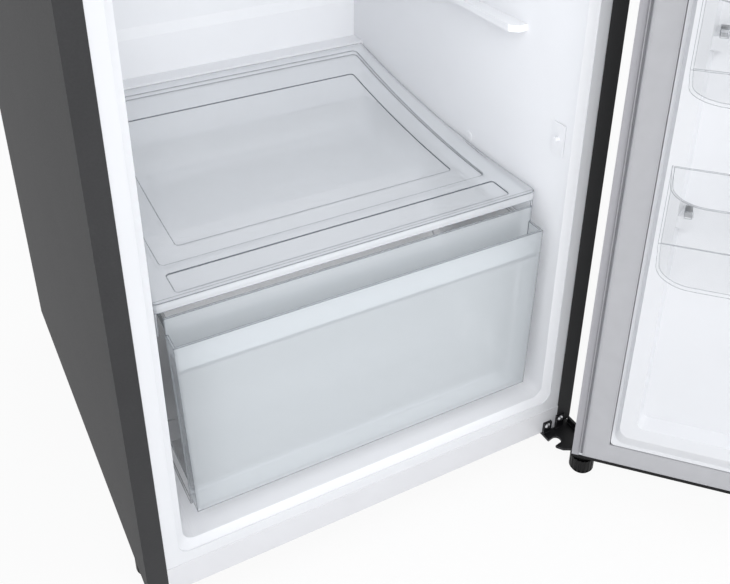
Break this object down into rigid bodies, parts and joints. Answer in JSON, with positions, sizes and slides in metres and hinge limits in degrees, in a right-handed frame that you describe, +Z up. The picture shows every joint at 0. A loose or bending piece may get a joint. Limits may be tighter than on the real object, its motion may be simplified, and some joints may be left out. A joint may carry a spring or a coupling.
{
  "type": "two-door refrigerator",
  "caption": "Upright refrigerator with a freezer on top, a dark steel cabinet, a white lined compartment, a clear crisper drawer with cover and a door with clear bins.",
  "frame": {"origin": "on the floor under the middle of the cabinet's width and depth", "axes": "+Z up, the doors' side faces -Y, +X to the right seen from the front"},
  "size_m": [0.9225, 1.0224, 1.52],
  "materials": {
    "dark_steel": "textured dark grey enamel",
    "pale_steel": "smooth pale grey enamel",
    "zinc_steel": "zinc plated",
    "black_steel": "black enamel",
    "white_plastic": "smooth white vacuum-formed sheet",
    "clear_plastic": "clear, slightly blue",
    "black_plastic": "black, finely textured",
    "grey_seal": "soft pale grey",
    "foam": "rigid foam with a smooth skin",
    "shelf_glass": "clear toughened glass",
    "grey_plastic": "light grey",
    "screw_steel": "bright zinc",
    "compressor_black": "satin black enamel",
    "black_rubber": "matt",
    "copper_pipe": "drawn copper",
    "coil_aluminium": "mill finish"
  },
  "bodies": {
    "cabinet": {"cabinet_wrapper": "dark_steel", "back_panel": "zinc_steel", "base_plate": "zinc_steel", "front_sill": "black_steel", "cabinet_foam": "foam", "bottom_rail": "pale_steel", "mullion_strip": "pale_steel", "fridge_liner": "white_plastic", "freezer_liner": "white_plastic", "control_housing": "white_plastic", "lamp_lens": "clear_plastic", "switch_housing": "white_plastic", "freezer_back_panel": "white_plastic", "fan_motor": "black_plastic", "evaporator": "coil_aluminium", "drain_tube": "grey_plastic", "compressor": "compressor_black", "compressor_mounts": "black_rubber", "compressor_tray": "zinc_steel", "refrigerant_pipes": "copper_pipe", "drain_pan": "black_plastic", "rear_cover": "zinc_steel", "cord_gland": "black_plastic", "lower_hinge": "black_steel", "lower_hinge_pin": "black_steel", "middle_hinge": "black_steel", "top_hinge": "black_steel", "top_hinge_cover": "grey_plastic", "screws": "screw_steel", "freezer_shelf": "white_plastic"},
    "fridge_door": {"fridge_door_skin": "dark_steel", "fridge_door_bottom_cap": "black_plastic", "fridge_door_top_cap": "black_plastic", "fridge_door_foam": "foam", "fridge_door_liner": "white_plastic", "fridge_door_gasket": "grey_seal"},
    "freezer_door": {"freezer_door_skin": "dark_steel", "freezer_door_bottom_cap": "black_plastic", "freezer_door_top_cap": "black_plastic", "freezer_door_foam": "foam", "freezer_door_liner": "white_plastic", "freezer_door_gasket": "grey_seal"},
    "low_door_bin": {"fridge_door_bin_low": "clear_plastic"},
    "middle_door_bin": {"fridge_door_bin_middle": "clear_plastic"},
    "high_door_bin": {"fridge_door_bin_high": "clear_plastic"},
    "freezer_bin": {"freezer_door_bin": "clear_plastic"},
    "drawer": {"crisper_bin": "clear_plastic", "crisper_front": "clear_plastic"},
    "drawer_cover": {"crisper_cover": "clear_plastic"},
    "lower_shelf": {"lower_shelf_glass": "shelf_glass", "lower_shelf_trim": "white_plastic"},
    "upper_shelf": {"upper_shelf_glass": "shelf_glass", "upper_shelf_trim": "white_plastic"},
    "fan": {"fan_blade": "grey_plastic"},
    "knob": {"control_knob": "grey_plastic"},
    "light_button": {"switch_button": "white_plastic"},
    "left_foot": {"front_foot_left": "black_plastic"},
    "right_foot": {"front_foot_right": "black_plastic"},
    "left_roller": {"rear_roller_left": "black_plastic"},
    "right_roller": {"rear_roller_right": "black_plastic"}
  },
  "joints": [
    {"name": "fridge_door_hinge", "type": "hinge", "parent": "cabinet", "child": "fridge_door", "pos_m": [0.265, -0.317, 0.06], "axis": [0, 0, 1], "range_deg": [-133.2, 6.8]},
    {"name": "freezer_door_hinge", "type": "hinge", "parent": "cabinet", "child": "freezer_door", "pos_m": [0.265, -0.317, 1.09], "axis": [0, 0, 1], "range_deg": [0, 140]},
    {"name": "drawer_slide", "type": "slide", "parent": "cabinet", "child": "drawer", "axis": [0, -1, 0], "range_m": [0, 0.26]},
    {"name": "drawer_cover_slide", "type": "slide", "parent": "cabinet", "child": "drawer_cover", "axis": [0, -1, 0], "range_m": [0, 0.2]},
    {"name": "lower_shelf_slide", "type": "slide", "parent": "cabinet", "child": "lower_shelf", "axis": [0, -1, 0], "range_m": [0, 0.25]},
    {"name": "upper_shelf_slide", "type": "slide", "parent": "cabinet", "child": "upper_shelf", "axis": [0, -1, 0], "range_m": [0, 0.25]},
    {"name": "low_door_bin_lift", "type": "slide", "parent": "fridge_door", "child": "low_door_bin", "axis": [0, 0, 1], "range_m": [0, 0.03]},
    {"name": "middle_door_bin_lift", "type": "slide", "parent": "fridge_door", "child": "middle_door_bin", "axis": [0, 0, 1], "range_m": [0, 0.03]},
    {"name": "high_door_bin_lift", "type": "slide", "parent": "fridge_door", "child": "high_door_bin", "axis": [0, 0, 1], "range_m": [0, 0.03]},
    {"name": "freezer_bin_lift", "type": "slide", "parent": "freezer_door", "child": "freezer_bin", "axis": [0, 0, 1], "range_m": [0, 0.03]},
    {"name": "fan_spin", "type": "hinge", "parent": "cabinet", "child": "fan", "pos_m": [0, 0.1375, 1.368], "axis": [0, 1, 0], "continuous": true},
    {"name": "knob_turn", "type": "hinge", "parent": "cabinet", "child": "knob", "pos_m": [0.062, -0.2225, 1.007], "axis": [0, 1, 0], "range_deg": [0, 270]},
    {"name": "light_button_press", "type": "slide", "parent": "cabinet", "child": "light_button", "axis": [-1, 0, 0], "range_m": [-0.0045, 0], "stiffness_N_per_m": 120},
    {"name": "left_foot_turn", "type": "hinge", "parent": "cabinet", "child": "left_foot", "pos_m": [-0.2605, -0.2045, 0.01], "axis": [0, 0, 1], "continuous": true},
    {"name": "right_foot_turn", "type": "hinge", "parent": "cabinet", "child": "right_foot", "pos_m": [0.265, -0.317, 0.01], "axis": [0, 0, 1], "continuous": true},
    {"name": "left_roller_spin", "type": "hinge", "parent": "cabinet", "child": "left_roller", "pos_m": [-0.2495, 0.2325, 0.018], "axis": [1, 0, 0], "continuous": true},
    {"name": "right_roller_spin", "type": "hinge", "parent": "cabinet", "child": "right_roller", "pos_m": [0.2495, 0.2325, 0.018], "axis": [1, 0, 0], "continuous": true}
  ]
}
